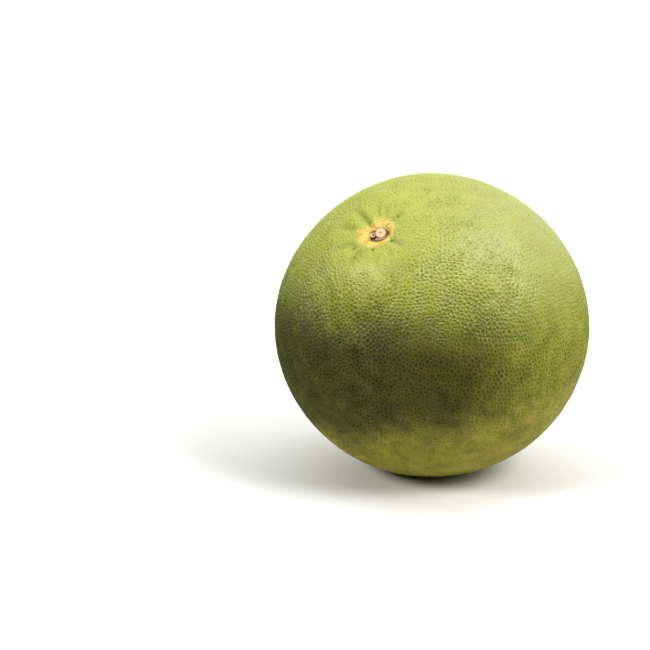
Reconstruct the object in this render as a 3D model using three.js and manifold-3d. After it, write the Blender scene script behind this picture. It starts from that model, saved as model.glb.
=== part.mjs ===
// A whole pomelo, lying as it came to rest, with the woody button that the cut stalk leaves in the
// hollow of its stem end. The rind is one grown body. Its oil-gland pits are larger than life here,
// in a spiral that tightens towards the stem, where the rind folds into creases round the button.
// Millimetres, +Z up, -Y to the front. The origin is on the surface that the fruit lies on, under
// its middle.
import * as THREE from "three";
import { ConvexHull } from "three/addons/math/ConvexHull.js";
import { mergeVertices } from "three/addons/utils/BufferGeometryUtils.js";
import Module from "manifold-3d";

const wasm = await Module();
wasm.setup();

// The body: three diameters of an oval, and what it gives up to the flat spot it lies on.
const WIDTH = 160; // left to right
const DEPTH = 158; // front to back
const HEIGHT = 154; // bottom to top, before it settles
const SETTLE = 1.9; // height lost to the flat spot
const FLAT_EDGE = 0.4; // the rounding where the flat spot meets the rind

// Where the stem end points.
const STEM_LEAN = 41.6; // degrees from straight up
const STEM_TURN = 32.1; // degrees from the front towards the left

// The stem end: a shallow hollow with a swollen shoulder round it, and in its floor a small well
// that the button sits in.
const HOLLOW_DEPTH = 1.8;
const HOLLOW_RADIUS = 13;
const SHOULDER_RISE = 0.5;
const SHOULDER_RADIUS = 25;
const SHOULDER_WIDTH = 10;
const WELL_DEPTH = 0.9;
const WELL_RADIUS = 4.9;
const WELL_OVAL = 0.6; // how much longer it is along the button, and narrower across it
const WELL_WALL = 1.4; // how far its wall slopes outwards

// Creases round the button: [degrees round the stem, where it starts, how far out, depth].
const CREASES = [
  [43, 9, 14, 0.5],
  [70, 8.5, 19, 1.0],
  [104, 11, 22, 0.7],
  [119, 10, 30, 0.9],
  [148, 6, 31, 1.5],
  [177, 14, 28, 0.9],
  [213, 12.5, 27, 1.0],
  [226, 11, 19, 0.9],
  [247, 11.5, 25, 1.0],
  [274, 7, 13, 0.8],
  [289, 12, 22, 0.6],
  [317, 9.5, 18, 0.7],
  [344, 6.5, 19, 1.0],
];
const CREASE_WIDTH = 0.8; // at the stem's axis
const CREASE_FLARE = 0.06; // how much wider for each millimetre further out

// The blossom end: flatter than the rest, with the dimple that the fallen style leaves.
const BLOSSOM_FLAT = 1.2;
const BLOSSOM_RADIUS = 30;
const STYLE_DIMPLE = 0.9;
const STYLE_RADIUS = 3.2;

// The oil-gland pits.
const PIT_SPACING = 8.6; // over most of the fruit
const PIT_SPACING_AT_STEM = 1.5;
const STEM_REACH = [7, 60]; // the spacing opens out between these distances from the stem
const PIT_DEPTH_SHARE = 0.05; // of the spacing
const CELL_SHARE = Math.sqrt(3) / 2; // a pit's share of the surface, over its spacing squared
const COUNTING_RINGS = 6000; // narrow rings round the stem, in which the pits are counted out

// Slow swells, as on any grown fruit: the waves along three directions, each with its start.
const UNEVENNESS = 0.18;
const SWELLS = [
  [5, 0, 2, 0],
  [-3, 4, 0, 1],
  [0, 2, 5, 2],
];

// The button: a lobed oval calyx, the cut stalk through it and the knob of a side shoot beside it.
// Bearings are degrees round the stem.
const CALYX_LENGTH = 9.8;
const CALYX_BREADTH = 7.1;
const CALYX_BEARING = 24; // the way its length runs
const CALYX_LOBES = 5;
const CALYX_LOBE_SHARE = 0.05; // of its radius
const CALYX_THICK = 0.7;
const STALK_RADIUS = 2.75;
const STALK_RISE = 1.5; // from the calyx's underside to the middle of the cut
const STALK_OFFSET = 1.2; // from the middle of the calyx
const STALK_BEARING = 14;
const CUT_SLANT = 20; // degrees, the stalk was cut at a slant
const CUT_BEARING = 321; // the way the cut faces
const PITH_RADIUS = 0.5;
const KNOB_RADIUS = 1.65;
const KNOB_RISE = 1.3;
const KNOB_OFFSET = 2.85;
const KNOB_BEARING = 210;
const GAP = 0.3; // between touching pieces

const RIND_GREEN = 0xa9b544;
const CALYX_BROWN = 0x5a4326;
const STALK_PALE = 0xe2bf8e;

const { degToRad, smoothstep, lerp } = THREE.MathUtils;
const HALF = new THREE.Vector3(WIDTH, DEPTH, HEIGHT).multiplyScalar(0.5);
const MIDDLE = new THREE.Vector3(0, 0, HALF.z - SETTLE);
const MEAN_RADIUS = (HALF.x + HALF.y + HALF.z) / 3;
const UP = new THREE.Vector3(0, 0, 1);

// The stem's own frame: STEM along its axis, and two directions across it from which bearings
// round the stem are counted.
const STEM = new THREE.Vector3(
  -Math.sin(degToRad(STEM_LEAN)) * Math.sin(degToRad(STEM_TURN)),
  -Math.sin(degToRad(STEM_LEAN)) * Math.cos(degToRad(STEM_TURN)),
  Math.cos(degToRad(STEM_LEAN)),
);
const ACROSS = new THREE.Vector3().crossVectors(UP, STEM).normalize();
const ALONG = new THREE.Vector3().crossVectors(STEM, ACROSS);

const bell = (distance, width) => Math.exp(-((distance / width) ** 2));

// How deep the creases are at a distance from the stem and an angle round it.
function creaseDepth(distance, angle) {
  let depth = 0;
  for (const [bearing, start, reach, deepest] of CREASES) {
    const turn = angle - degToRad(bearing);
    if (Math.cos(turn) <= 0) continue;
    const aside = distance * Math.sin(turn);
    const width = CREASE_WIDTH + CREASE_FLARE * distance;
    const fadeIn = smoothstep(distance, start, start + 3);
    const fadeOut = 1 - smoothstep(distance, (start + reach) / 2, reach);
    depth += deepest * fadeIn * fadeOut * bell(aside, width);
  }
  return depth;
}

// The point of the rind in a direction from the fruit's middle. sink lowers it, as in a pit.
function rindPoint(direction, sink = 0) {
  const fromStem = MEAN_RADIUS * direction.angleTo(STEM);
  const fromBlossom = Math.PI * MEAN_RADIUS - fromStem;
  const angle = Math.atan2(direction.dot(ALONG), direction.dot(ACROSS));

  let radius = 1 / direction.clone().divide(HALF).length();
  for (const [x, y, z, start] of SWELLS) {
    radius += UNEVENNESS * Math.sin(direction.dot(new THREE.Vector3(x, y, z)) + start);
  }
  radius -= HOLLOW_DEPTH * bell(fromStem, HOLLOW_RADIUS);
  const well = WELL_RADIUS + WELL_OVAL * Math.cos(2 * (angle - degToRad(CALYX_BEARING)));
  radius -= WELL_DEPTH * (1 - smoothstep(fromStem, well, well + WELL_WALL));
  radius += SHOULDER_RISE * bell(fromStem - SHOULDER_RADIUS, SHOULDER_WIDTH);
  radius -= creaseDepth(fromStem, angle);
  radius -= BLOSSOM_FLAT * bell(fromBlossom, BLOSSOM_RADIUS);
  radius -= STYLE_DIMPLE * bell(fromBlossom, STYLE_RADIUS);

  const point = direction.clone().multiplyScalar(radius - sink).add(MIDDLE);
  point.z = settled(point.z);
  return point;
}

// Heights below the surface that the fruit lies on come up to it, over a small rounding.
function settled(height) {
  if (height >= FLAT_EDGE) return height;
  return height <= -FLAT_EDGE ? 0 : (height + FLAT_EDGE) ** 2 / (4 * FLAT_EDGE);
}

const pitSpacing = (fromStem) =>
  lerp(PIT_SPACING_AT_STEM, PIT_SPACING, smoothstep(fromStem, ...STEM_REACH));

// The pits' directions from the fruit's middle, in a golden-angle spiral from stem to blossom end.
function pitDirections() {
  const goldenAngle = Math.PI * (3 - Math.sqrt(5));
  const ringWidth = (Math.PI * MEAN_RADIUS) / COUNTING_RINGS;
  const directions = [];
  let pitsSoFar = 0;
  for (let ring = 0; ring < COUNTING_RINGS; ring++) {
    const arc = (Math.PI * (ring + 0.5)) / COUNTING_RINGS;
    const ringArea = 2 * Math.PI * Math.sin(arc) * MEAN_RADIUS * ringWidth;
    pitsSoFar += ringArea / (CELL_SHARE * pitSpacing(arc * MEAN_RADIUS) ** 2);
    while (directions.length + 0.5 < pitsSoFar) {
      const angle = directions.length * goldenAngle;
      directions.push(
        new THREE.Vector3()
          .addScaledVector(STEM, Math.cos(arc))
          .addScaledVector(ACROSS, Math.sin(arc) * Math.cos(angle))
          .addScaledVector(ALONG, Math.sin(arc) * Math.sin(angle)),
      );
    }
  }
  return directions;
}

// The rind's surface: each pit is a sunk point in a cell of raised corners. The hull of the pit
// directions gives the triangles between neighbouring pits, and a corner stands in each of them.
function pittedRind() {
  const hull = new ConvexHull().setFromPoints(pitDirections());
  const corners = new Map(hull.faces.map((face) => [face, cellCorner(face)]));
  const pits = new Map();
  const pitBottom = (direction) => {
    if (!pits.has(direction)) {
      const spacing = pitSpacing(MEAN_RADIUS * direction.angleTo(STEM));
      pits.set(direction, rindPoint(direction, PIT_DEPTH_SHARE * spacing));
    }
    return pits.get(direction);
  };

  const triangles = [];
  for (const face of hull.faces) {
    let edge = face.edge;
    do {
      triangles.push(pitBottom(edge.tail().point), corners.get(edge.twin.face), corners.get(face));
      edge = edge.next;
    } while (edge !== face.edge);
  }
  return new THREE.BufferGeometry().setFromPoints(triangles);
}

function cellCorner(face) {
  const direction = new THREE.Vector3();
  let edge = face.edge;
  do {
    direction.add(edge.head().point);
    edge = edge.next;
  } while (edge !== face.edge);
  return rindPoint(direction.normalize());
}

// A closed geometry as a solid that can be joined and cut, and back again.
function solidOf(geometry) {
  const bare = geometry.clone();
  bare.deleteAttribute("normal");
  bare.deleteAttribute("uv");
  const merged = mergeVertices(bare);
  return new wasm.Manifold(
    new wasm.Mesh({
      numProp: 3,
      vertProperties: merged.attributes.position.array,
      triVerts: new Uint32Array(merged.index.array),
    }),
  );
}

function geometryOf(solid) {
  const { vertProperties, triVerts } = solid.getMesh();
  return new THREE.BufferGeometry()
    .setAttribute("position", new THREE.BufferAttribute(vertProperties, 3))
    .setIndex(new THREE.BufferAttribute(triVerts, 1));
}

// A solid turned from a profile of [radius, height] pairs, about the stem's axis.
function turned(profile, sides) {
  const points = profile.map(([radius, height]) => new THREE.Vector2(radius, height));
  return new THREE.LatheGeometry(points, sides).rotateX(Math.PI / 2);
}

const offsetAt = (distance, bearing) => [
  distance * Math.cos(degToRad(bearing)),
  distance * Math.sin(degToRad(bearing)),
  0,
];

function stalkGeometry() {
  const bevel = 0.25;
  const pithDepth = 0.15;
  const geometry = turned(
    [
      [0, 0],
      [STALK_RADIUS, 0],
      [STALK_RADIUS, STALK_RISE - bevel],
      [STALK_RADIUS - bevel, STALK_RISE],
      [PITH_RADIUS * 1.6, STALK_RISE],
      [PITH_RADIUS, STALK_RISE - pithDepth],
      [0, STALK_RISE - pithDepth],
    ],
    24,
  );
  // The cut leans: one side of the stalk is left taller than the other.
  const { position } = geometry.attributes;
  const [faceX, faceY] = offsetAt(1, CUT_BEARING);
  for (let i = 0; i < position.count; i++) {
    const height = position.getZ(i);
    const downhill = position.getX(i) * faceX + position.getY(i) * faceY;
    const share = Math.max(0, height / STALK_RISE);
    position.setZ(i, height - share * downhill * Math.tan(degToRad(CUT_SLANT)));
  }
  return geometry.translate(...offsetAt(STALK_OFFSET, STALK_BEARING));
}

// The calyx: a disc with a domed edge, stretched to its oval and waved into lobes, joined with the
// hollow-topped knob and cut clear of the stalk.
function calyxGeometry() {
  const rim = CALYX_THICK * 0.4;
  const disc = turned(
    [
      [0, 0],
      [0.9, 0],
      [1, rim],
      [0.92, CALYX_THICK * 0.8],
      [0.75, CALYX_THICK],
      [0, CALYX_THICK],
    ],
    40,
  );
  const { position } = disc.attributes;
  for (let i = 0; i < position.count; i++) {
    const [x, y] = [position.getX(i), position.getY(i)];
    const lobes = 1 + CALYX_LOBE_SHARE * Math.hypot(x, y) * Math.cos(CALYX_LOBES * Math.atan2(y, x));
    position.setX(i, x * lobes * (CALYX_LENGTH / 2));
    position.setY(i, y * lobes * (CALYX_BREADTH / 2));
  }
  disc.rotateZ(degToRad(CALYX_BEARING));

  const bowlDepth = 0.5;
  const knob = turned(
    [
      [0, rim],
      [KNOB_RADIUS, rim],
      [KNOB_RADIUS, KNOB_RISE - 0.2],
      [KNOB_RADIUS * 0.8, KNOB_RISE],
      [KNOB_RADIUS * 0.45, KNOB_RISE - 0.1],
      [0, KNOB_RISE - bowlDepth],
    ],
    16,
  ).translate(...offsetAt(KNOB_OFFSET, KNOB_BEARING));

  const clear = STALK_RADIUS + GAP;
  const socket = new THREE.CylinderGeometry(clear, clear, 4 * KNOB_RISE, 24)
    .rotateX(Math.PI / 2)
    .translate(...offsetAt(STALK_OFFSET, STALK_BEARING));
  return geometryOf(solidOf(disc).add(solidOf(knob)).subtract(solidOf(socket)));
}

function piece(name, geometry, color, roughness) {
  const material = new THREE.MeshStandardMaterial({ color, roughness, metalness: 0 });
  const mesh = new THREE.Mesh(geometry, material);
  mesh.name = name;
  return mesh;
}

// The button's group stands on the floor of the hollow, a gap clear of the rind.
function button() {
  const group = new THREE.Group();
  group.position.copy(rindPoint(STEM)).addScaledVector(STEM, GAP);
  group.quaternion.setFromRotationMatrix(new THREE.Matrix4().makeBasis(ACROSS, ALONG, STEM));
  group.add(piece("calyx", calyxGeometry(), CALYX_BROWN, 0.85));
  group.add(piece("stalk_stub", stalkGeometry(), STALK_PALE, 0.75));
  return group;
}

const pomelo = new THREE.Group();
pomelo.add(piece("fruit", pittedRind(), RIND_GREEN, 0.45));
pomelo.add(button());

export default pomelo;
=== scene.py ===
"""A whole pomelo: the finished rind, the dry calyx and the cut stalk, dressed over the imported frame.

Sizes are in millimetres until a mesh is made. +Z is up and -Y is the front.
"""
import math

import bpy
import numpy as np
from bpy.props import FloatProperty, FloatVectorProperty, IntProperty, PointerProperty
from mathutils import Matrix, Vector


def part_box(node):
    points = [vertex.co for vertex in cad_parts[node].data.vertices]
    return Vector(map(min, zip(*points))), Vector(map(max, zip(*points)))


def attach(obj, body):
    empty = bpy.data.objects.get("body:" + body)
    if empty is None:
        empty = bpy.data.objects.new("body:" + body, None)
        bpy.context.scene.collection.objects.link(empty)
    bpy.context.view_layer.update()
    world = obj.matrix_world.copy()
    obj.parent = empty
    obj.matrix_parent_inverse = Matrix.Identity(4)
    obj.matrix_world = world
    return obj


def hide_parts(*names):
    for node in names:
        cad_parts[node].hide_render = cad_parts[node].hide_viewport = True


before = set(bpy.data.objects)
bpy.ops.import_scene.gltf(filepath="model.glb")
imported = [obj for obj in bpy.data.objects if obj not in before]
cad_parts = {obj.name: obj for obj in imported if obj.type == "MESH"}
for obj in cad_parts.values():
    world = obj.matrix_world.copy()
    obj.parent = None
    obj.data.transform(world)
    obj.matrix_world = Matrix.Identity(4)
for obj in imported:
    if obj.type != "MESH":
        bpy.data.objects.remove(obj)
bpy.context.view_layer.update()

bl_info = {
    "name": "Pomelo",
    "version": (1, 0, 0),
    "blender": (4, 5, 0),
    "location": "3D View > Sidebar > Pomelo",
    "description": "A whole pomelo with a pitted rind, a dry calyx and a cut stalk",
    "category": "Add Mesh",
}

MM = 0.001

# The body, as the frame gives it, how much it lost to the flat spot that it lies on, and how softly
# that spot's edge is rounded.
FRUIT_LOW, FRUIT_HIGH = (np.array(corner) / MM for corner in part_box("fruit"))
SETTLE = 1.9
FLAT_EDGE = 0.4
HALF = (FRUIT_HIGH - FRUIT_LOW + np.array([0, 0, SETTLE])) / 2
MIDDLE = np.array([0, 0, HALF[2] - SETTLE])
MEAN_RADIUS = HALF.mean()

# Where the stem end points, and the two directions across it that bearings are counted from.
STEM_LEAN = math.radians(41.6)
STEM_TURN = math.radians(32.1)
STEM = np.array(
    [
        -math.sin(STEM_LEAN) * math.sin(STEM_TURN),
        -math.sin(STEM_LEAN) * math.cos(STEM_TURN),
        math.cos(STEM_LEAN),
    ]
)
ACROSS = np.cross([0, 0, 1], STEM) / math.sin(STEM_LEAN)
ALONG = np.cross(STEM, ACROSS)

# The stem end: a shallow hollow, its shoulder, and the well that the button sits in.
HOLLOW_DEPTH, HOLLOW_RADIUS = 1.8, 13
SHOULDER_RISE, SHOULDER_RADIUS, SHOULDER_WIDTH = 0.5, 25, 10
WELL_DEPTH, WELL_RADIUS, WELL_OVAL, WELL_WALL = 0.9, 4.9, 0.6, 1.4

# Creases round the button: bearing in degrees, where it starts, how far out, depth.
CREASES = [
    (43, 9, 14, 0.5),
    (70, 8.5, 19, 1.0),
    (104, 11, 22, 0.7),
    (119, 10, 30, 0.9),
    (148, 6, 31, 1.5),
    (177, 14, 28, 0.9),
    (213, 12.5, 27, 1.0),
    (226, 11, 19, 0.9),
    (247, 11.5, 25, 1.0),
    (274, 7, 13, 0.8),
    (289, 12, 22, 0.6),
    (317, 9.5, 18, 0.7),
    (344, 6.5, 19, 1.0),
]

# A crease's width at the stem, its growth with each millimetre out, and the length it deepens over.
CREASE_WIDTH, CREASE_FLARE, CREASE_LEAD = 0.8, 0.06, 3

# Small dead scars in the creases: bearing, how far out, radius.
SCARS = [
    (70, 14, 0.6),
    (72, 11, 0.5),
    (147, 7.5, 0.5),
    (226, 14.6, 0.75),
    (246, 17, 0.5),
    (276, 9.5, 0.6),
    (343, 8.8, 0.65),
    (331, 17.6, 0.5),
]

# Painted highlights, whitish spots where the softboxes' glints fall: bearing, how far out, how far it
# spreads, share.
HIGHLIGHT_SPOTS = [(279, 27, 15, 1.0), (9, 58, 24, 0.4)]

# The blossom end: flatter, with the dimple that the fallen style leaves.
BLOSSOM_FLAT, BLOSSOM_RADIUS = 1.2, 30
STYLE_DIMPLE, STYLE_RADIUS = 0.9, 3.2

# Slow swells: the waves along three directions, each with its start.
UNEVENNESS = 0.18
SWELLS = [((5, 0, 2), 0), ((-3, 4, 0), 1), ((0, 2, 5), 2)]

# The button: an oval calyx, the cut stalk through it, and the knob of a side shoot.
GAP = 0.3
CALYX_LENGTH, CALYX_BREADTH, CALYX_BEARING = 9.8, 7.1, math.radians(24)
CALYX_LOBES, CALYX_LOBE_SHARE, CALYX_THICK = 5, 0.05, 0.7
STALK_RADIUS, STALK_CLEARANCE = 2.75, 0.12
STALK_OFFSET, STALK_BEARING = 1.2, math.radians(14)
CUT_SLANT, CUT_BEARING = math.radians(20), math.radians(321)
KNOB_RADIUS, KNOB_RISE = 1.65, 1.3
KNOB_OFFSET, KNOB_BEARING = 2.85, math.radians(210)

# The corky patch round the button: how far it reaches at each bearing.
CORK_REACH = [(0, 7.5), (41, 9), (80, 9.5), (120, 11.5), (150, 9.5), (178, 13), (205, 12),
              (240, 9.5), (270, 8.5), (301, 8), (360, 7.5)]

# The photograph's frame, and where the fruit's outline stands in it.
FRAME_PX = 650
FRUIT_MIDDLE_PX = (431.6, 323.3)
FRUIT_WIDTH_PX = 314.9
SENSOR = 36
LENS = 135
CAMERA_AZIMUTH = math.radians(1.92)
CAMERA_ELEVATION = math.radians(14.75)


def linear(code):
    """An sRGB hex code as the linear RGBA that Blender's sockets take."""
    parts = [int(code[i : i + 2], 16) / 255 for i in (1, 3, 5)]
    return tuple(c / 12.92 if c <= 0.04045 else ((c + 0.055) / 1.055) ** 2.4 for c in parts) + (1,)


def add(tree, kind, inputs=None, **settings):
    """Adds a node. inputs maps a socket's name or number to a value, or to the socket that it reads."""
    node = tree.nodes.new(kind)
    for name, value in settings.items():
        setattr(node, name, value)
    for key, value in (inputs or {}).items():
        if isinstance(key, int):
            socket = node.inputs[key]
        else:
            socket = next(s for s in node.inputs if s.name == key and s.enabled)
        if isinstance(value, bpy.types.NodeSocket):
            tree.links.new(value, socket)
        else:
            socket.default_value = value
    return node


def new_material(name):
    """An empty material, its node tree, and the place on the piece in millimetres."""
    material = bpy.data.materials.new(name)
    material.use_nodes = True
    tree = material.node_tree
    tree.nodes.clear()
    place = add(tree, "ShaderNodeTexCoord").outputs["Object"]
    in_mm = add(tree, "ShaderNodeMapping", {"Vector": place, "Scale": (1 / MM,) * 3})
    return material, tree, in_mm.outputs[0]


def product_of(tree, bands):
    """The product of some bands. A band is a value alone, or a value and the two places between which
    it goes smoothly from 0 to 1, or from a first share to a second where the band gives them."""
    product = None
    for value, *span in bands:
        if span:
            low, high, *shares = span
            first, last = shares or (0.0, 1.0)
            value = add(tree, "ShaderNodeMapRange",
                        {"Value": value, "From Min": low, "From Max": high, "To Min": first,
                         "To Max": last}, interpolation_type="SMOOTHSTEP").outputs[0]
        if product is None:
            product = value
        else:
            product = add(tree, "ShaderNodeMath", {0: product, 1: value},
                          operation="MULTIPLY").outputs[0]
    return product


def layered(tree, colour, layers):
    """The colour under some layers. A layer is how it blends, its colour, and the bands of its share:
    MIX covers what is below, and MULTIPLY tints it, brighter where the tint is above 1."""
    for blend, paint, bands in layers:
        colour = add(tree, "ShaderNodeMix", {"Factor": product_of(tree, bands), "A": colour, "B": paint},
                     data_type="RGBA", blend_type=blend).outputs["Result"]
    return colour


# The form of the rind


def around_stem(distance, bearing):
    """The direction that is this far from the stem, along the rind, on this bearing."""
    arc = distance / MEAN_RADIUS
    aside = math.cos(bearing) * ACROSS + math.sin(bearing) * ALONG
    return math.cos(arc) * STEM + math.sin(arc) * aside


def bell(distance, width):
    """A smooth bump: 1 where the distance is 0, and nearly 0 at twice the width."""
    return np.exp(-((distance / width) ** 2))


def fade(value, low, high):
    """A smooth step: 0 on the low side and 1 on the high side."""
    share = np.clip((value - low) / (high - low), 0, 1)
    return share * share * (3 - 2 * share)


def stem_polar(directions):
    """How far each direction is from the stem, along the rind, and its bearing round the stem."""
    distance = MEAN_RADIUS * np.arccos(np.clip(directions @ STEM, -1, 1))
    return distance, np.arctan2(directions @ ALONG, directions @ ACROSS)


def crease_depth(distance, bearing):
    """How deep the creases cut, at a distance and on a bearing from the stem."""
    depth = np.zeros_like(distance)
    for degrees, start, reach, deepest in CREASES:
        turn = bearing - math.radians(degrees)
        aside = distance * np.sin(turn)
        width = CREASE_WIDTH + CREASE_FLARE * distance
        fade_in = fade(distance, start, start + CREASE_LEAD)
        fade_out = 1 - fade(distance, (start + reach) / 2, reach)
        depth += np.where(np.cos(turn) > 0, deepest * fade_in * fade_out * bell(aside, width), 0)
    return depth


def rind_points(directions, sink=0):
    """The points of the rind in these directions from the fruit's middle, each lowered by sink."""
    distance, bearing = stem_polar(directions)
    from_blossom = math.pi * MEAN_RADIUS - distance
    radius = 1 / np.linalg.norm(directions / HALF, axis=1)
    for wave, start in SWELLS:
        radius += UNEVENNESS * np.sin(directions @ np.array(wave) + start)
    radius -= HOLLOW_DEPTH * bell(distance, HOLLOW_RADIUS)
    well = WELL_RADIUS + WELL_OVAL * np.cos(2 * (bearing - CALYX_BEARING))
    radius -= WELL_DEPTH * (1 - fade(distance, well, well + WELL_WALL))
    radius += SHOULDER_RISE * bell(distance - SHOULDER_RADIUS, SHOULDER_WIDTH)
    radius -= crease_depth(distance, bearing)
    radius -= BLOSSOM_FLAT * bell(from_blossom, BLOSSOM_RADIUS)
    radius -= STYLE_DIMPLE * bell(from_blossom, STYLE_RADIUS)
    points = directions * (radius - sink)[:, None] + MIDDLE
    height = points[:, 2]
    rounded = (height + FLAT_EDGE) ** 2 / (4 * FLAT_EDGE)
    points[:, 2] = np.where(height >= FLAT_EDGE, height, np.where(height > -FLAT_EDGE, rounded, 0))
    return points


def button_points(local):
    """Points of the button, given across, along and up the stem, where they are on the fruit."""
    foot = rind_points(STEM[None])[0] + GAP * STEM
    return foot + local @ np.array([ACROSS, ALONG, STEM])


def on_bearing(distance, bearing):
    return distance * np.array([math.cos(bearing), math.sin(bearing)])


def ripples(points, wavelength, count, seed):
    """Smooth random swells of about unit height: a sum of waves in random directions."""
    random = np.random.default_rng(seed)
    total = np.zeros(len(points))
    for _ in range(count):
        way = random.normal(size=3)
        way *= random.uniform(0.7, 1.3) * math.tau / (wavelength * np.linalg.norm(way))
        total += np.sin(points @ way + random.uniform(0, math.tau))
    return total * math.sqrt(2 / count)


# Meshes


def new_piece(name, mesh, material, node):
    """Adds the finished mesh as a piece that shows in place of a node of the frame."""
    piece = bpy.data.objects.new(name, mesh)
    bpy.context.scene.collection.objects.link(piece)
    mesh.materials.clear()
    mesh.materials.append(material)
    mesh.shade_smooth()
    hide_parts(node)
    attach(piece, "root")
    return piece


def store(mesh, name, values):
    mesh.attributes.new(name, "FLOAT", "POINT").data.foreach_set("value", values)


def loop_grid(row_count, count):
    """Faces that join rows of points one after another, where each row is a closed loop."""
    faces = []
    for row in range(row_count - 1):
        here, above = row * count, (row + 1) * count
        for i in range(count):
            j = (i + 1) % count
            faces.append((here + i, here + j, above + j, above + i))
    return faces


# Settings


class RindSettings(bpy.types.PropertyGroup):
    pit_spacing: FloatProperty(
        name="Pit spacing", description="Distance between oil-gland pits a hand's breadth from the stem",
        default=2.12 * MM, min=1 * MM, unit="LENGTH", precision=5)
    pit_spacing_far: FloatProperty(
        name="Spacing at the blossom end", description="Distance between pits at the blossom end",
        default=3.1 * MM, min=1 * MM, unit="LENGTH", precision=5)
    pit_spacing_stem: FloatProperty(
        name="Spacing at the stem", description="Distance between pits round the button",
        default=1.7 * MM, min=0.5 * MM, unit="LENGTH", precision=5)
    pit_depth: FloatProperty(
        name="Pit depth", description="How deep a pit is below the bumps between pits",
        default=0.5 * MM, min=0, unit="LENGTH", precision=5)
    saddle: FloatProperty(
        name="Saddle depth", description="How deep the rind is halfway between two pits, in pit depths",
        default=0.35, min=0, max=1, subtype="FACTOR")
    pit_jitter: FloatProperty(
        name="Pit jitter", description="How far pits stray from their spiral, in spacings",
        default=0.36, min=0, max=0.5, subtype="FACTOR")
    seed: IntProperty(name="Seed", description="Seed of the pits' places", default=7)
    upper_color: FloatVectorProperty(
        name="Upper rind", description="Colour of the rind round the stem and over the top",
        default=linear("#949d31")[:3], size=3, min=0, max=1, subtype="COLOR")
    lower_color: FloatVectorProperty(
        name="Lower rind", description="Colour of the rind lower down, where it ripens",
        default=linear("#847f2a")[:3], size=3, min=0, max=1, subtype="COLOR")
    # Painted shade: the belt's colour also stands in for the form shadow round the lower middle and a cast
    # shadow on the lower left.
    belt_and_shadow_color: FloatVectorProperty(
        name="Belt", description="Colour of the dark belt below the middle",
        default=linear("#474a13")[:3], size=3, min=0, max=1, subtype="COLOR")
    cork_color: FloatVectorProperty(
        name="Cork", description="Colour of the corky patch round the button",
        default=linear("#dcc662")[:3], size=3, min=0, max=1, subtype="COLOR")


class ButtonSettings(bpy.types.PropertyGroup):
    stalk_rise: FloatProperty(
        name="Stalk height", description="How far the cut stalk stands above its foot",
        default=1.5 * MM, min=0.5 * MM, unit="LENGTH", precision=5)
    calyx_color: FloatVectorProperty(
        name="Calyx", description="Colour of the calyx between its dark blotches",
        default=linear("#6b5030")[:3], size=3, min=0, max=1, subtype="COLOR")
    stalk_color: FloatVectorProperty(
        name="Stalk", description="Colour of the stalk's wood round its pith",
        default=linear("#ecca9c")[:3], size=3, min=0, max=1, subtype="COLOR")


class StudioSettings(bpy.types.PropertyGroup):
    panel_strength: FloatProperty(
        name="Overhead panel", description="Brightness of the wide overhead panel of light",
        default=3.1, min=0)
    side_strength: FloatProperty(
        name="Side light", description="Brightness of the low light on the right", default=1.5, min=0)
    softbox_strength: FloatProperty(
        name="Softboxes", description="Brightness of the small softboxes in front, which give the sheen",
        default=15.0, min=0)
    back_strength: FloatProperty(
        name="Backdrop", description="Brightness of the backdrop's light on the rim", default=1.2, min=0)
    floor_color: FloatVectorProperty(
        name="Floor", description="Colour of the floor", default=linear("#e6e6e4")[:3], size=3,
        min=0, max=1, subtype="COLOR")
    bounce_near: FloatProperty(
        name="Near bounce", description="Share of its light that the floor gives back close by the fruit",
        default=1.0, min=0, max=1, subtype="FACTOR")
    bounce_far: FloatProperty(
        name="Far bounce", description="Share of its light that the floor gives back farther out",
        default=0.08, min=0, max=1, subtype="FACTOR")


# The rind


# A pit has this share of its spacing squared to itself, as in a grid of triangles.
CELL_SHARE = math.sqrt(3) / 2

# How many rings round the stem the pits are counted in.
COUNTING_RINGS = 6000

# The distances from the stem over which the spacing opens out, round the button and then far from it.
OPENS_NEAR = (6, 34)
OPENS_FAR = (80, math.pi * MEAN_RADIUS)

# The rind's noises: size in millimetres, detail, roughness, distortion.
RIND_NOISE = {
    "border": (30, 4, 0.55, 0),
    "tan blotch": (11, 6, 0.7, 0.6),
    "green blotch": (14, 6, 0.68, 0.6),
    "cloud": (16, 5, 0.65, 0),
    "mottle": (1.2, 4, 0.65, 0),
    "cork edge": (1.4, 5, 0.75, 0),
    "fleck": (0.9, 3, 0.6, 0),
    "fleck group": (4, 2, 0.55, 0),
    "cork shade": (5, 2, 0.55, 0),
    "scar edge": (0.8, 3, 0.55, 0),
    "wax": (6, 4, 0.55, 0),
    "skin grain": (0.45, 3, 0.6, 0),
}

# One speck at most in each cell of this size, in millimetres, and the share of the cells without one.
SPECK_CELL, SPECKLESS = 7, 0.86


def pit_spacing(distance, rind):
    """The spacing of pits, in mm, at a distance from the stem."""
    stem, usual, far = (v / MM for v in (rind.pit_spacing_stem, rind.pit_spacing, rind.pit_spacing_far))
    near = stem + (usual - stem) * fade(distance, *OPENS_NEAR)
    return near + (far - usual) * fade(distance, *OPENS_FAR)


def pit_starts(rind):
    """Directions of the pits before jitter, in a golden-angle spiral, and the spacing at each."""
    edges = np.linspace(0, math.pi, COUNTING_RINGS + 1)
    arcs = (edges[1:] + edges[:-1]) / 2
    ring_area = math.tau * np.sin(arcs) * MEAN_RADIUS**2 * (edges[1] - edges[0])
    counted = np.cumsum(ring_area / (CELL_SHARE * pit_spacing(arcs * MEAN_RADIUS, rind) ** 2))
    index = np.arange(int(counted[-1])) + 0.5
    arc = np.interp(index, counted, edges[1:])
    angle = index * math.pi * (3 - math.sqrt(5))
    in_stem_frame = np.stack([np.sin(arc) * np.cos(angle), np.sin(arc) * np.sin(angle), np.cos(arc)], 1)
    directions = in_stem_frame @ np.array([ACROSS, ALONG, STEM])
    return directions, pit_spacing(arc * MEAN_RADIUS, rind) / MEAN_RADIUS


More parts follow.
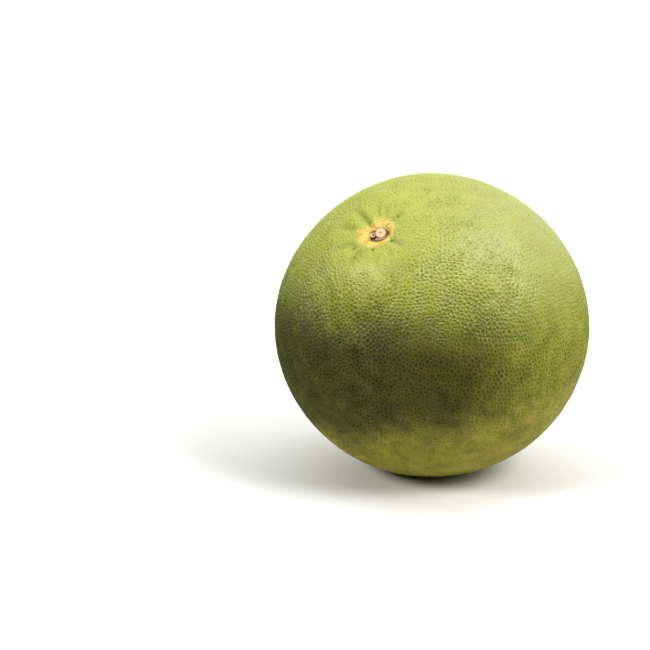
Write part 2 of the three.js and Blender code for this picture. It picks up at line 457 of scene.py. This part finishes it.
def pits_tree():
    """Geometry nodes: jittered points on a unit sphere become a surface with a pit at each point, a
    bump in each triangle of pits, and a saddle halfway between two pits."""
    tree = bpy.data.node_groups.new("Pomelo pits", "GeometryNodeTree")
    face = tree.interface
    face.new_socket("Points", in_out="INPUT", socket_type="NodeSocketGeometry")
    face.new_socket("Jitter", in_out="INPUT", socket_type="NodeSocketFloat")
    face.new_socket("Saddle", in_out="INPUT", socket_type="NodeSocketFloat")
    face.new_socket("Seed", in_out="INPUT", socket_type="NodeSocketInt")
    face.new_socket("Material", in_out="INPUT", socket_type="NodeSocketMaterial")
    face.new_socket("Rind", in_out="OUTPUT", socket_type="NodeSocketGeometry")
    given = add(tree, "NodeGroupInput").outputs

    stray = add(tree, "FunctionNodeRandomValue",
                {"Min": (-1, -1, -1), "Max": (1, 1, 1), "Seed": given["Seed"]}, data_type="FLOAT_VECTOR")
    spacing = add(tree, "GeometryNodeInputNamedAttribute", {"Name": "spacing"}, data_type="FLOAT")
    reach = add(tree, "ShaderNodeMath", {0: spacing.outputs["Attribute"], 1: given["Jitter"]},
                operation="MULTIPLY")
    offset = add(tree, "ShaderNodeVectorMath", {0: stray.outputs["Value"], "Scale": reach.outputs[0]},
                 operation="SCALE")
    strayed = add(tree, "GeometryNodeSetPosition",
                  {"Geometry": given["Points"], "Offset": offset.outputs["Vector"]})
    place = add(tree, "GeometryNodeInputPosition")
    on_sphere = add(tree, "ShaderNodeVectorMath", {0: place.outputs[0]}, operation="NORMALIZE")
    ball = add(tree, "GeometryNodeSetPosition",
               {"Geometry": strayed.outputs[0], "Position": on_sphere.outputs["Vector"]})

    hull = add(tree, "GeometryNodeConvexHull", {"Geometry": ball.outputs[0]})
    split = add(tree, "GeometryNodeSubdivisionSurface", {"Mesh": hull.outputs[0], "Level": 1})
    # A pit is left with five or more neighbours, a bump has three, and a saddle has four.
    around = add(tree, "GeometryNodeInputMeshVertexNeighbors").outputs["Vertex Count"]
    is_pit = add(tree, "FunctionNodeCompare", {"A": around, "B": 5}, data_type="INT",
                 operation="GREATER_EQUAL")
    is_bump = add(tree, "FunctionNodeCompare", {"A": around, "B": 3}, data_type="INT", operation="EQUAL")
    # Each pit has a depth of its own.
    gland = add(tree, "FunctionNodeRandomValue", {"Min": 0.75, "Max": 1.2, "Seed": given["Seed"]},
                data_type="FLOAT")
    between = add(tree, "GeometryNodeSwitch",
                  {"Switch": is_bump.outputs[0], "False": given["Saddle"], "True": 0.0}, input_type="FLOAT")
    level = add(tree, "GeometryNodeSwitch",
                {"Switch": is_pit.outputs[0], "False": between.outputs[0], "True": gland.outputs["Value"]},
                input_type="FLOAT")
    marked = add(tree, "GeometryNodeStoreNamedAttribute",
                 {"Geometry": split.outputs[0], "Name": "pit", "Value": level.outputs[0]},
                 data_type="FLOAT", domain="POINT")
    realized = add(tree, "GeometryNodeRealizeInstances", {"Geometry": marked.outputs[0]})
    finished = add(tree, "GeometryNodeSetMaterial",
                   {"Geometry": realized.outputs[0], "Material": given["Material"]})
    add(tree, "NodeGroupOutput", {"Rind": finished.outputs[0]})
    return tree


def rind_material(rind):
    """Fresh citrus rind: a waxy skin over oil glands, so it has a broad soft sheen. Its pits are painted
    darker and the net between them paler, partly as painted shade and light on the relief, and it carries
    painted highlights, a painted sheen and a dark belt that is partly painted shade. It is yellow-green at
    the stem and olive to brown lower down."""
    material, tree, spot = new_material("Waxy pomelo rind")
    axes = add(tree, "ShaderNodeSeparateXYZ", {0: spot}).outputs
    side, height = axes["X"], axes["Z"]
    own = {}
    for name in ("pit", "relief", "crease", "cork"):
        own[name] = add(tree, "ShaderNodeAttribute", attribute_name=name).outputs["Fac"]
    noise = {}
    for name, (size, detail, roughness, distortion) in RIND_NOISE.items():
        noise[name] = add(tree, "ShaderNodeTexNoise",
                          {"Vector": spot, "Scale": 1 / size, "Detail": detail, "Roughness": roughness,
                           "Distortion": distortion}).outputs["Fac"]

    def ragged(value, name, reach):
        """The value, moved up or down by as much as half the reach."""
        swing = add(tree, "ShaderNodeMath", {0: noise[name], 1: 0.5}, operation="SUBTRACT").outputs[0]
        return add(tree, "ShaderNodeMath", {0: swing, 1: reach, 2: value},
                   operation="MULTIPLY_ADD").outputs[0]

    def away_from(bearing, distance):
        """How far each point is from the spot of the rind on this bearing, this far from the stem."""
        middle = rind_points(around_stem(distance, math.radians(bearing))[None])[0]
        return add(tree, "ShaderNodeVectorMath", {0: spot, 1: tuple(middle)},
                   operation="DISTANCE").outputs["Value"]

    # The level is the height, made ragged. The belt follows a level that lets it hang lower on the left,
    # where it is a painted cast shadow.
    level = ragged(height, "border", 30)
    shadow_hang_level = add(tree, "ShaderNodeMath", {0: side, 1: -0.25, 2: level},
                  operation="MULTIPLY_ADD").outputs[0]
    lower_half = (level, 108, 75)
    # The raised net between the pits, which is painted paler as painted light on the ridges.
    lit_net = (own["pit"], 0.1, 0.7, 1.0, 0.0)

    # Painted highlights: whitish spots tinted over the colour where the softboxes' glints fall.
    painted_highlights = [("MULTIPLY", (1.22, 1.18, 2.4, 1),
             [(away_from(bearing, distance), spread * 0.2, spread, share, 0.0)])
            for bearing, distance, spread, share in HIGHLIGHT_SPOTS]

    # The corky patch has a star-like broken edge, tan flecks and darker clouds.
    cork = product_of(tree, [(ragged(own["cork"], "cork edge", 11), -0.4, 0.6)])
    corky = layered(tree, (*rind.cork_color, 1), [
        ("MIX", linear("#b98a48"), [(noise["fleck"], 0.46, 0.58), (noise["fleck group"], 0.45, 0.58)]),
        ("MULTIPLY", (0.88, 0.85, 0.78, 1), [(noise["cork shade"], 0.46, 0.6)]),
    ])

    # The scars are brown spots at the creases. The noise, 0.5 on average, makes their edge uneven.
    scarred = []
    for bearing, distance, radius in SCARS:
        off = add(tree, "ShaderNodeMath", {0: away_from(bearing, distance), 1: noise["scar edge"]},
                  operation="ADD").outputs[0]
        scarred.append(("MIX", linear("#584a0c"), [(off, radius + 0.3, radius + 0.9, 0.75, 0.0)]))

    # A few brown specks are under a millimetre across.
    cells = add(tree, "ShaderNodeTexVoronoi", {"Vector": spot, "Scale": 1 / SPECK_CELL})
    drawn = add(tree, "ShaderNodeSeparateColor", {0: cells.outputs["Color"]}).outputs[0]
    chosen = add(tree, "ShaderNodeMath", {0: drawn, 1: SPECKLESS}, operation="GREATER_THAN").outputs[0]

    # Heights, sides and distances are in millimetres.
    colour = layered(tree, (*rind.lower_color, 1), [
        # It is yellow-green above and olive-brown below.
        ("MIX", (*rind.upper_color, 1), [(level, 35, 100)]),
        # Painted sheen: the upper right is whitened, as by a soft reflection of the light.
        ("MULTIPLY", (1.04, 1.01, 2.4, 1), [(height, 98, 138), (side, -25, 45)]),
        *painted_highlights,
        # Painted bounce light: the underside is paler, as if lit by the floor under it.
        ("MULTIPLY", (1.25, 1.25, 1.3, 1), [(height, 20, 3)]),
        # A belt of dark green runs round the lower middle, and is faint on the right: partly the rind's
        # darker green and partly painted shade, the form shadow under the overhead light and a painted cast
        # shadow on the lower left.
        ("MIX", (*rind.belt_and_shadow_color, 1), [(shadow_hang_level, 28, 56), (level, 118, 76), (side, 58, 10, 0.3, 1.0)]),
        # Blotches of tan and of dark green, 5 to 15 mm across, lie on the lower half.
        ("MULTIPLY", (1.4, 1.3, 1.6, 1), [(noise["tan blotch"], 0.46, 0.66), lower_half]),
        ("MULTIPLY", (0.7, 0.74, 0.7, 1), [(noise["green blotch"], 0.46, 0.66), lower_half]),
        # Faint clouds and a fine mottle are everywhere.
        ("MULTIPLY", (1.08, 1.1, 1.05, 1), [(noise["cloud"], 0.35, 0.65)]),
        ("MULTIPLY", (1.16, 1.14, 1.2, 1), [(noise["mottle"], 0.35, 0.65)]),
        # The pits are darker, partly the darker green of the oil and partly painted shade in the hollows,
        # most round the middle.
        ("MULTIPLY", (0.5, 0.55, 0.4, 1),
         [(own["relief"],), (height, 110, 70, 0.4, 0.85), (height, 30, 65, 0.55, 1.0)]),
        # Painted light: the net between the pits is paler, as the raised ridges catch the light, most along
        # the upper edge of the belt where it grazes.
        ("MULTIPLY", (1.14, 1.12, 1.25, 1), [lit_net]),
        ("MULTIPLY", (1.22, 1.16, 1.3, 1), [lit_net, (height, 45, 68), (height, 100, 78)]),
        # The creases at the stem are painted a darker green, as shade in the grooves.
        ("MIX", linear("#7f8f2c"), [(own["crease"], 0.1, 0.9, 0.0, 0.3)]),
        ("MIX", corky, [(cork,)]),
        *scarred,
        ("MIX", linear("#6b5424"), [(cells.outputs["Distance"], 0.04, 0.075, 0.75, 0.0), (chosen,)]),
    ])

    # The wax is duller below the middle, and the cork has none.
    wax = product_of(tree, [(noise["wax"], 0.3, 0.7, 0.30, 0.40)])
    duller = product_of(tree, [(height, 100, 62, 0.0, 0.22)])
    waxed = add(tree, "ShaderNodeMath", {0: wax, 1: duller}, operation="ADD").outputs[0]
    dry = product_of(tree, [(cork,), (0.75,)])
    roughness = add(tree, "ShaderNodeMath", {0: waxed, 1: dry}, operation="MAXIMUM").outputs[0]
    shine = product_of(tree, [(height, 70, 104, 0.15, 0.5)])

    # The skin's own grain, and the walls of the pits a little steeper than the mesh has them.
    grain = add(tree, "ShaderNodeBump",
                {"Height": noise["skin grain"], "Strength": 0.5, "Distance": 0.03 * MM})
    walls = add(tree, "ShaderNodeBump",
                {"Height": own["relief"], "Strength": 1.0, "Distance": 0.45 * MM,
                 "Normal": grain.outputs[0]}, invert=True)
    skin = add(tree, "ShaderNodeBsdfPrincipled",
               {"Base Color": colour, "Roughness": roughness, "IOR": 1.46, "Specular IOR Level": shine,
                "Normal": walls.outputs[0]})
    add(tree, "ShaderNodeOutputMaterial", {"Surface": skin.outputs[0]})
    return material


class POMELO_OT_rind(bpy.types.Operator):
    """Make the rind: a net of oil-gland pits over the form of the fruit"""
    bl_idname = "pomelo.rind"
    bl_label = "Rind"

    def execute(self, context):
        rind = context.scene.pomelo_rind
        directions, spacing = pit_starts(rind)
        starts = bpy.data.meshes.new("pit starts")
        starts.from_pydata(directions.tolist(), [], [])
        store(starts, "spacing", spacing)
        maker = bpy.data.objects.new("pit starts", starts)
        context.scene.collection.objects.link(maker)
        material = rind_material(rind)
        modifier = maker.modifiers.new("Pits", "NODES")
        modifier.node_group = pits_tree()
        sockets = {s.name: s.identifier for s in modifier.node_group.interface.items_tree}
        modifier[sockets["Jitter"]] = rind.pit_jitter
        modifier[sockets["Saddle"]] = rind.saddle
        modifier[sockets["Seed"]] = rind.seed
        modifier[sockets["Material"]] = material
        graph = context.evaluated_depsgraph_get()
        mesh = bpy.data.meshes.new_from_object(maker.evaluated_get(graph))
        bpy.data.objects.remove(maker)
        bpy.data.meshes.remove(starts)
        if not len(mesh.polygons):
            raise RuntimeError("the geometry nodes made no rind")
        mesh.name = "rind"
        self.shape(mesh, rind)
        new_piece("rind", mesh, material, "fruit")
        return {"FINISHED"}

    def shape(self, mesh, rind):
        """Moves the mesh from a sphere to the form of the fruit, and stores what the material reads."""
        count = len(mesh.vertices)
        places = np.empty(count * 3)
        mesh.vertices.foreach_get("co", places)
        directions = places.reshape(-1, 3)
        directions /= np.linalg.norm(directions, axis=1)[:, None]
        pit = np.empty(count)
        mesh.attributes["pit"].data.foreach_get("value", pit)
        distance, bearing = stem_polar(directions)

        # The pits are shallow near the stem, where the rind is smooth, and again towards the blossom end.
        strength = 0.35 + 0.65 * fade(distance, 12, 40)
        strength *= 1 - 0.35 * fade(distance, 90, 160)

        # They vary from place to place, and are shallower on the upper right and deeper on the left.
        around = directions * MEAN_RADIUS
        strength *= 1 + 0.15 * ripples(around, 11, 14, seed=1)
        side, height = around[:, 0], around[:, 2]
        strength *= 1 - 0.45 * fade(side, 5, 55) * fade(height, -10, 35)
        strength *= 1 + 0.35 * fade(side, 10, -50) * fade(height, 40, 10)
        relief = pit * strength
        store(mesh, "relief", relief)

        # Small swells, 9 and 4.5 mm long, lie under the pits.
        sink = relief * rind.pit_depth / MM
        sink += 0.05 * ripples(around, 9, 16, seed=2) + 0.03 * ripples(around, 4.5, 18, seed=3)
        points = self.fitted(rind_points(directions, sink))
        mesh.vertices.foreach_set("co", (points * MM).ravel())
        mesh.update()
        store(mesh, "crease", crease_depth(distance, bearing))
        reach = np.interp(np.degrees(bearing) % 360, *np.array(CORK_REACH).T)
        store(mesh, "cork", reach - distance)

    def fitted(self, points):
        """The points, scaled to fill the frame's box again, which the swells took them a little out of."""
        low, high = points.min(0), points.max(0)
        return FRUIT_LOW + (points - low) * (FRUIT_HIGH - FRUIT_LOW) / (high - low)


# The button


def calyx_material(button):
    """Dry calyx: dead brown tissue, matte, blotched, with paler worn tops."""
    material, tree, spot = new_material("Dry calyx")
    blotch = add(tree, "ShaderNodeTexNoise", {"Vector": spot, "Scale": 1.1, "Detail": 5.0})
    share = add(tree, "ShaderNodeMapRange",
                {"Value": blotch.outputs["Fac"], "From Min": 0.35, "From Max": 0.65})
    brown = add(tree, "ShaderNodeMix",
                {"Factor": share.outputs[0], "A": linear("#33280f"), "B": (*button.calyx_color, 1)},
                data_type="RGBA")
    worn = add(tree, "ShaderNodeAttribute", attribute_name="worn").outputs["Fac"]
    colour = layered(tree, brown.outputs["Result"], [("MIX", linear("#d9a78c"), [(worn,)])])
    grain = add(tree, "ShaderNodeTexNoise", {"Vector": spot, "Scale": 4.0, "Detail": 4.0})
    bump = add(tree, "ShaderNodeBump",
               {"Height": grain.outputs["Fac"], "Strength": 0.6, "Distance": 0.08 * MM})
    tissue = add(tree, "ShaderNodeBsdfPrincipled",
                 {"Base Color": colour, "Roughness": 0.8, "Normal": bump.outputs[0]})
    add(tree, "ShaderNodeOutputMaterial", {"Surface": tissue.outputs[0]})
    return material


class POMELO_OT_calyx(bpy.types.Operator):
    """Make the dry calyx: a lobed disc round the stalk, with the knob of a side shoot"""
    bl_idname = "pomelo.calyx"
    bl_label = "Calyx"

    SIDES = 220
    STEPS = 34
    RIM_BULGE, FOOT_INSET = 1.015, 0.97
    PALE_BEARING, PALE_SHARE = math.radians(305), 0.8

    def execute(self, context):
        angle = np.arange(self.SIDES) * math.tau / self.SIDES
        centre = on_bearing(STALK_OFFSET, STALK_BEARING)
        outwards = np.stack([np.cos(angle), np.sin(angle)], 1)
        inner = np.full(self.SIDES, STALK_RADIUS + STALK_CLEARANCE)
        outer = self.rim_distance(centre, outwards)

        # Over the top from the stalk to the rim, down the side, and back under it to the stalk.
        rows = []
        for share in np.linspace(0, 1, self.STEPS):
            flat = centre + outwards * (inner + (outer - inner) * share)[:, None]
            rows.append(np.column_stack([flat, self.top(flat)]))
        rim = outwards * outer[:, None]
        rows.append(np.column_stack([centre + rim * self.RIM_BULGE, rows[-1][:, 2] * 0.5 + 0.1]))
        rows.append(np.column_stack([centre + rim * self.FOOT_INSET, np.zeros(self.SIDES)]))
        rows.append(np.column_stack([centre + outwards * inner[:, None], np.zeros(self.SIDES)]))
        count = self.SIDES * len(rows)
        faces = [tuple(i % count for i in face) for face in loop_grid(len(rows) + 1, self.SIDES)]
        local = np.concatenate(rows)
        mesh = bpy.data.meshes.new("calyx")
        mesh.from_pydata((button_points(local) * MM).tolist(), [], faces)
        store(mesh, "worn", self.worn(local))
        material = calyx_material(context.scene.pomelo_button)
        new_piece("dry_calyx", mesh, material, "calyx")
        return {"FINISHED"}

    def worn(self, local):
        """How worn and pale each point is: on the rim of the knob, and on one side of the calyx."""
        flat, height = local[:, :2], local[:, 2]
        knob = self.knob_distance(flat)
        knob_rim = fade(height, 0.8, 1.2) * (1 - fade(knob, KNOB_RADIUS, KNOB_RADIUS * 1.1))
        knob_rim *= fade(knob, 0.35, 0.6)
        out, _ = self.out(flat)
        turn = np.arctan2(flat[:, 1], flat[:, 0]) - self.PALE_BEARING
        pale_side = self.PALE_SHARE * fade(np.cos(turn), 0.5, 0.85) * fade(out, 0.35, 0.6)
        return np.maximum(knob_rim, pale_side)

    def out(self, flat):
        """How far out each point is, from 0 in the calyx's middle to 1 on its rim, and its bearing."""
        turn = np.array([math.cos(CALYX_BEARING), math.sin(CALYX_BEARING)])
        along = flat @ turn / (CALYX_LENGTH / 2)
        aside = flat @ np.array([-turn[1], turn[0]]) / (CALYX_BREADTH / 2)
        bearing = np.arctan2(aside, along)
        return np.hypot(along, aside) / (1 + CALYX_LOBE_SHARE * np.cos(CALYX_LOBES * bearing)), bearing

    def rim_distance(self, centre, outwards):
        """How far the rim is from a centre, each way outwards, by halving."""
        near, far = np.zeros(len(outwards)), np.full(len(outwards), CALYX_LENGTH)
        for _ in range(40):
            tried = (near + far) / 2
            inside = self.out(centre + outwards * tried[:, None])[0] < 1
            near, far = np.where(inside, tried, near), np.where(inside, far, tried)
        return near

    def knob_distance(self, flat):
        return np.linalg.norm(flat - on_bearing(KNOB_OFFSET, KNOB_BEARING), axis=1)

    def top(self, flat):
        """The height of the calyx's upper side: a lobed cushion, with the knob, its bowl and its moat."""
        out, bearing = self.out(flat)
        height = CALYX_THICK * (1 - 0.5 * out**4)
        height += (0.05 * np.sin(23 * bearing) + 0.06 * np.cos(CALYX_LOBES * bearing)) * out
        knob = self.knob_distance(flat)
        wall = 1 - fade(knob, KNOB_RADIUS * 0.85, KNOB_RADIUS * 1.08)
        bowl = 0.75 * bell(knob, 0.5)
        moat = 0.45 * bell(knob - KNOB_RADIUS * 1.25, 0.35)
        return (height - moat) * (1 - wall) + (KNOB_RISE - bowl) * wall


def stalk_material(button):
    """Freshly cut young stalk: pale moist wood with a pinkish bark ring and a spongy pith."""
    material, tree, spot = new_material("Cut pale stalk")
    ring = add(tree, "ShaderNodeAttribute", attribute_name="ring").outputs["Fac"]
    grain = add(tree, "ShaderNodeTexNoise", {"Vector": spot, "Scale": 2.2, "Detail": 5.0}).outputs["Fac"]
    wobbled = add(tree, "ShaderNodeMath", {0: grain, 1: 0.12, 2: ring}, operation="MULTIPLY_ADD")
    ramp = add(tree, "ShaderNodeValToRGB", {"Fac": wobbled.outputs[0]})
    stops = [
        (0.0, linear("#b08a4c")),
        (0.28, linear("#c8a25a")),
        (0.38, (*button.stalk_color, 1)),
        (0.78, linear("#ebc59a")),
        (0.92, linear("#d9a088")),
        (1.0, linear("#a06a55")),
    ]
    while len(ramp.color_ramp.elements) < len(stops):
        ramp.color_ramp.elements.new(1)
    for element, (position, colour) in zip(ramp.color_ramp.elements, stops):
        element.position = position
        element.color = colour
    bump = add(tree, "ShaderNodeBump", {"Height": grain, "Strength": 0.5, "Distance": 0.06 * MM})
    wood = add(tree, "ShaderNodeBsdfPrincipled",
               {"Base Color": ramp.outputs["Color"], "Roughness": 0.6, "Normal": bump.outputs[0]})
    add(tree, "ShaderNodeOutputMaterial", {"Surface": wood.outputs[0]})
    return material


class POMELO_OT_stalk(bpy.types.Operator):
    """Make the cut stalk: a short round stub with a slanted, slightly hollow cut"""
    bl_idname = "pomelo.stalk"
    bl_label = "Cut stalk"

    SIDES = 96

    def execute(self, context):
        button = context.scene.pomelo_button
        rise = button.stalk_rise / MM
        angle = np.arange(self.SIDES) * math.tau / self.SIDES
        outwards = np.stack([np.cos(angle), np.sin(angle)], 1)
        grooves = 1 + 0.018 * np.sin(9 * angle + 1) + 0.012 * np.sin(17 * angle)

        # Each row's share of the radius and its height, under the foot, up the side and over the cut.
        # The pith is a little lower than the wood round it.
        profile = [(0.02, 0), (0.6, 0), (0.96, 0), (1.0, 0.25 * rise), (1.0, 0.6 * rise), (1.0, rise - 0.2),
                   (0.975, rise - 0.07), (0.92, rise), (0.8, rise + 0.01), (0.6, rise), (0.4, rise - 0.02),
                   (0.24, rise - 0.06), (0.15, rise - 0.2), (0.02, rise - 0.24)]
        rows, ring = [], []
        for share, height in profile:
            flat = outwards * STALK_RADIUS * share
            if share > 0.3:
                flat *= grooves[:, None]
            downhill = flat @ on_bearing(math.tan(CUT_SLANT), CUT_BEARING) * height / rise
            rows.append(np.column_stack([flat, height - downhill]))
            on_cut = height > rise - 0.3
            ring.extend([share if on_cut else 1.0] * self.SIDES)
        faces = loop_grid(len(rows), self.SIDES)
        faces.append(tuple(reversed(range(self.SIDES))))
        last = (len(rows) - 1) * self.SIDES
        faces.append(tuple(range(last, last + self.SIDES)))
        local = np.concatenate(rows)
        local[:, :2] += on_bearing(STALK_OFFSET, STALK_BEARING)
        mesh = bpy.data.meshes.new("stalk")
        mesh.from_pydata((button_points(local) * MM).tolist(), [], faces)
        store(mesh, "ring", np.array(ring))
        new_piece("cut_stalk", mesh, stalk_material(button), "stalk_stub")
        return {"FINISHED"}


# The stage


class POMELO_OT_studio(bpy.types.Operator):
    """Make the pale floor, the soft studio light and the camera at the photograph's angle"""
    bl_idname = "pomelo.studio"
    bl_label = "Studio"

    # Half the floor's width, and the distances from the fruit over which its bounce is taken back.
    FLOOR_HALF = 12000
    BOUNCE_REACH = (110, 280)

    # The way to each light's middle, and how many degrees from it the light reaches.
    SIDE_LIGHT = ((0.95, 0.1, 0.25), 44)
    RIGHT_SOFTBOX = ((0.61, -0.36, 0.71), 18.5)
    LEFT_SOFTBOX = ((-0.74, -0.38, 0.55), 13.5)
    LEFT_GAIN = 1.5

    def execute(self, context):
        studio = context.scene.pomelo_studio
        self.floor(context, studio)
        self.world(context, studio)
        self.camera(context)
        context.scene.view_settings.view_transform = "Standard"
        return {"FINISHED"}

    def floor(self, context, studio):
        """A pale matte floor. Away from the fruit its bounce is held back, as by dark flags round a
        product table, so the fruit is darker round its middle than under it."""
        mesh = bpy.data.meshes.new("floor")
        half = self.FLOOR_HALF * MM
        corners = [(-half, -half, 0), (half, -half, 0), (half, half, 0), (-half, half, 0)]
        mesh.from_pydata(corners, [], [(0, 1, 2, 3)])
        floor = bpy.data.objects.new("floor", mesh)
        context.scene.collection.objects.link(floor)
        material, tree, spot = new_material("Matte pale table")
        pale = tuple(studio.floor_color)
        seen = add(tree, "ShaderNodeBsdfDiffuse", {"Color": (*pale, 1)})
        distance = add(tree, "ShaderNodeVectorMath", {0: spot}, operation="LENGTH").outputs["Value"]
        share = product_of(tree, [(distance, *self.BOUNCE_REACH, studio.bounce_near, studio.bounce_far)])
        held = add(tree, "ShaderNodeVectorMath", {0: pale, "Scale": share}, operation="SCALE")
        bounce = add(tree, "ShaderNodeBsdfDiffuse", {"Color": held.outputs["Vector"]})
        ray = add(tree, "ShaderNodeLightPath")
        either = add(tree, "ShaderNodeMixShader",
                     {0: ray.outputs["Is Camera Ray"], 1: bounce.outputs[0], 2: seen.outputs[0]})
        add(tree, "ShaderNodeOutputMaterial", {"Surface": either.outputs[0]})
        mesh.materials.append(material)

    def camera_axes(self):
        """The camera's right, its up, and the way back from the fruit to it."""
        turn, lift = CAMERA_AZIMUTH, CAMERA_ELEVATION
        back = Vector((math.sin(turn) * math.cos(lift), -math.cos(turn) * math.cos(lift), math.sin(lift)))
        right = Vector((math.cos(turn), math.sin(turn), 0))
        return right, back.cross(right), back

    def world(self, context, studio):
        """A white backdrop for the camera. The light comes from a wide panel overhead, a low glow on
        the right, two small softboxes in front, on the left and on the right, and the backdrop."""
        world = bpy.data.worlds.new("Studio")
        context.scene.world = world
        world.use_nodes = True
        tree = world.node_tree
        tree.nodes.clear()
        place = add(tree, "ShaderNodeTexCoord").outputs["Generated"]
        way = add(tree, "ShaderNodeSeparateXYZ", {0: place}).outputs

        # No light comes from below the level of the floor.
        above = (way["Z"], 0.0, 0.1)

        def glow(towards, width, strength):
            """Light from round a direction, fading out this many degrees from it."""
            cosine = add(tree, "ShaderNodeVectorMath", {0: place, 1: Vector(towards).normalized()},
                         operation="DOT_PRODUCT").outputs["Value"]
            return product_of(tree, [(cosine, math.cos(math.radians(width)), 1.0), above, (strength,)])

        # The panel is given by where it would lie on a ceiling one unit above the fruit.
        height = add(tree, "ShaderNodeMath", {0: way["Z"], 1: 0.01}, operation="MAXIMUM").outputs[0]
        aside = add(tree, "ShaderNodeMath", {0: way["X"], 1: height}, operation="DIVIDE").outputs[0]
        across = add(tree, "ShaderNodeMath", {0: aside}, operation="ABSOLUTE").outputs[0]
        behind = add(tree, "ShaderNodeMath", {0: way["Y"], 1: height}, operation="DIVIDE").outputs[0]
        lights = [
            product_of(tree, [(across, 1.0, 0.6), (behind, -0.35, 0.05), (behind, 0.7, 0.3), above,
                              (studio.panel_strength,)]),
            glow(*self.SIDE_LIGHT, studio.side_strength),
            glow(*self.RIGHT_SOFTBOX, studio.softbox_strength),
            glow(*self.LEFT_SOFTBOX, self.LEFT_GAIN * studio.softbox_strength),
            product_of(tree, [(way["Y"], 0.3, 0.95), (studio.back_strength,)]),
        ]
        total = lights[0]
        for light in lights[1:]:
            total = add(tree, "ShaderNodeMath", {0: total, 1: light}, operation="ADD").outputs[0]
        room = add(tree, "ShaderNodeBackground", {"Color": (1, 1, 1, 1), "Strength": total})
        backdrop = add(tree, "ShaderNodeBackground", {"Color": (1, 1, 1, 1), "Strength": 1.0})
        ray = add(tree, "ShaderNodeLightPath")
        either = add(tree, "ShaderNodeMixShader",
                     {0: ray.outputs["Is Camera Ray"], 1: room.outputs[0], 2: backdrop.outputs[0]})
        add(tree, "ShaderNodeOutputWorld", {"Surface": either.outputs[0]})

    def camera(self, context):
        """The camera, as far off as makes the fruit's outline as wide as in the photograph."""
        focal_px = LENS / SENSOR * FRAME_PX
        radius_px = FRUIT_WIDTH_PX / 2
        distance = HALF[0] * math.hypot(focal_px / radius_px, 1) * MM
        right, up, back = self.camera_axes()
        aside = [(p - FRAME_PX / 2) * distance / focal_px for p in FRUIT_MIDDLE_PX]
        middle = Vector((FRUIT_LOW + FRUIT_HIGH) / 2 * MM)
        data = bpy.data.cameras.new("camera")
        data.lens = LENS
        data.sensor_width = SENSOR
        camera = bpy.data.objects.new("camera", data)
        context.scene.collection.objects.link(camera)
        camera.location = middle + back * distance - right * aside[0] + up * aside[1]
        camera.rotation_mode = "QUATERNION"
        camera.rotation_quaternion = (-back).to_track_quat("-Z", "Y")
        context.scene.camera = camera


class POMELO_PT_panel(bpy.types.Panel):
    bl_label = "Pomelo"
    bl_space_type = "VIEW_3D"
    bl_region_type = "UI"
    bl_category = "Pomelo"

    def draw(self, context):
        scene = context.scene
        for group in (scene.pomelo_rind, scene.pomelo_button, scene.pomelo_studio):
            for name in group.bl_rna.properties.keys():
                if name not in ("rna_type", "name"):
                    self.layout.prop(group, name)
        for operator in OPERATORS:
            self.layout.operator(operator.bl_idname)


OPERATORS = (POMELO_OT_rind, POMELO_OT_calyx, POMELO_OT_stalk, POMELO_OT_studio)
CLASSES = (RindSettings, ButtonSettings, StudioSettings, *OPERATORS, POMELO_PT_panel)


def register():
    for cls in CLASSES:
        bpy.utils.register_class(cls)
    bpy.types.Scene.pomelo_rind = PointerProperty(type=RindSettings)
    bpy.types.Scene.pomelo_button = PointerProperty(type=ButtonSettings)
    bpy.types.Scene.pomelo_studio = PointerProperty(type=StudioSettings)


def unregister():
    del bpy.types.Scene.pomelo_studio
    del bpy.types.Scene.pomelo_button
    del bpy.types.Scene.pomelo_rind
    for cls in reversed(CLASSES):
        bpy.utils.unregister_class(cls)


def main():
    register()
    bpy.ops.pomelo.rind()
    bpy.ops.pomelo.calyx()
    bpy.ops.pomelo.stalk()
    bpy.ops.pomelo.studio()


if __name__ == "__main__":
    main()
